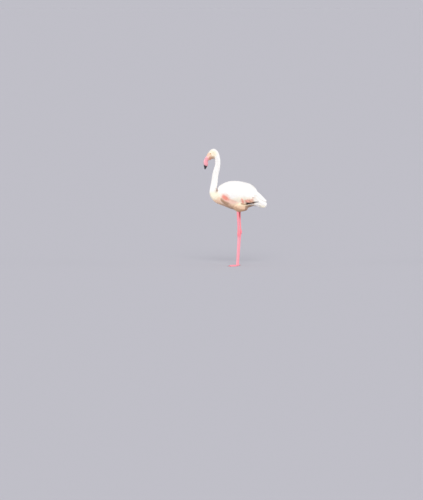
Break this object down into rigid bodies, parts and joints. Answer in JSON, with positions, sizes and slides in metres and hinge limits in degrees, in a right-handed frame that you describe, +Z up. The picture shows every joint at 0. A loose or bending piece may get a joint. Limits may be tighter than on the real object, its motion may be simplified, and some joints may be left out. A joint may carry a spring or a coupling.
{
  "type": "greater flamingo, still life-size model",
  "caption": "Life-size greater flamingo standing on both feet in pink-white plumage, neck raised in a gentle curve, head bowed, black-tipped bill pointing down.",
  "frame": {"origin": "on the floor, under the middle of the bird's bounding box", "axes": "+Z up; the bird faces -Y, its tail points to +Y and its left side is +X"},
  "size_m": [0.1962, 0.637, 1.173],
  "materials": {
    "plumage": "soft white contour feathers with a cream and peach tint",
    "flight_feathers": "smooth black flight feathers with a slight gloss",
    "bare_skin": "pink scaly skin of legs and webbed feet, satin",
    "bill": "smooth pink horn with a black tip, satin",
    "claw": "dark horn, satin",
    "eye": "wet pale yellow iris with a round black pupil"
  },
  "bodies": {
    "root": {"eye_left": "eye", "eye_right": "eye", "bill_upper": "bill", "bill_lower": "bill", "tertials_left": "plumage", "tertials_right": "plumage", "primaries_left": "flight_feathers", "primaries_right": "flight_feathers", "tail": "plumage", "head": "plumage", "neck_upper": "plumage", "neck_middle": "plumage", "neck_lower": "plumage", "neck_base": "plumage", "trunk": "plumage", "wing_left": "plumage", "thigh_left": "plumage", "shank_left": "bare_skin", "ankle_left": "bare_skin", "tarsus_left": "bare_skin", "foot_left": "bare_skin", "claw_left_inner": "claw", "claw_left_middle": "claw", "claw_left_outer": "claw", "claw_left_hind": "claw", "wing_right": "plumage", "thigh_right": "plumage", "shank_right": "bare_skin", "ankle_right": "bare_skin", "tarsus_right": "bare_skin", "foot_right": "bare_skin", "claw_right_inner": "claw", "claw_right_middle": "claw", "claw_right_outer": "claw", "claw_right_hind": "claw"}
  },
  "joints": []
}
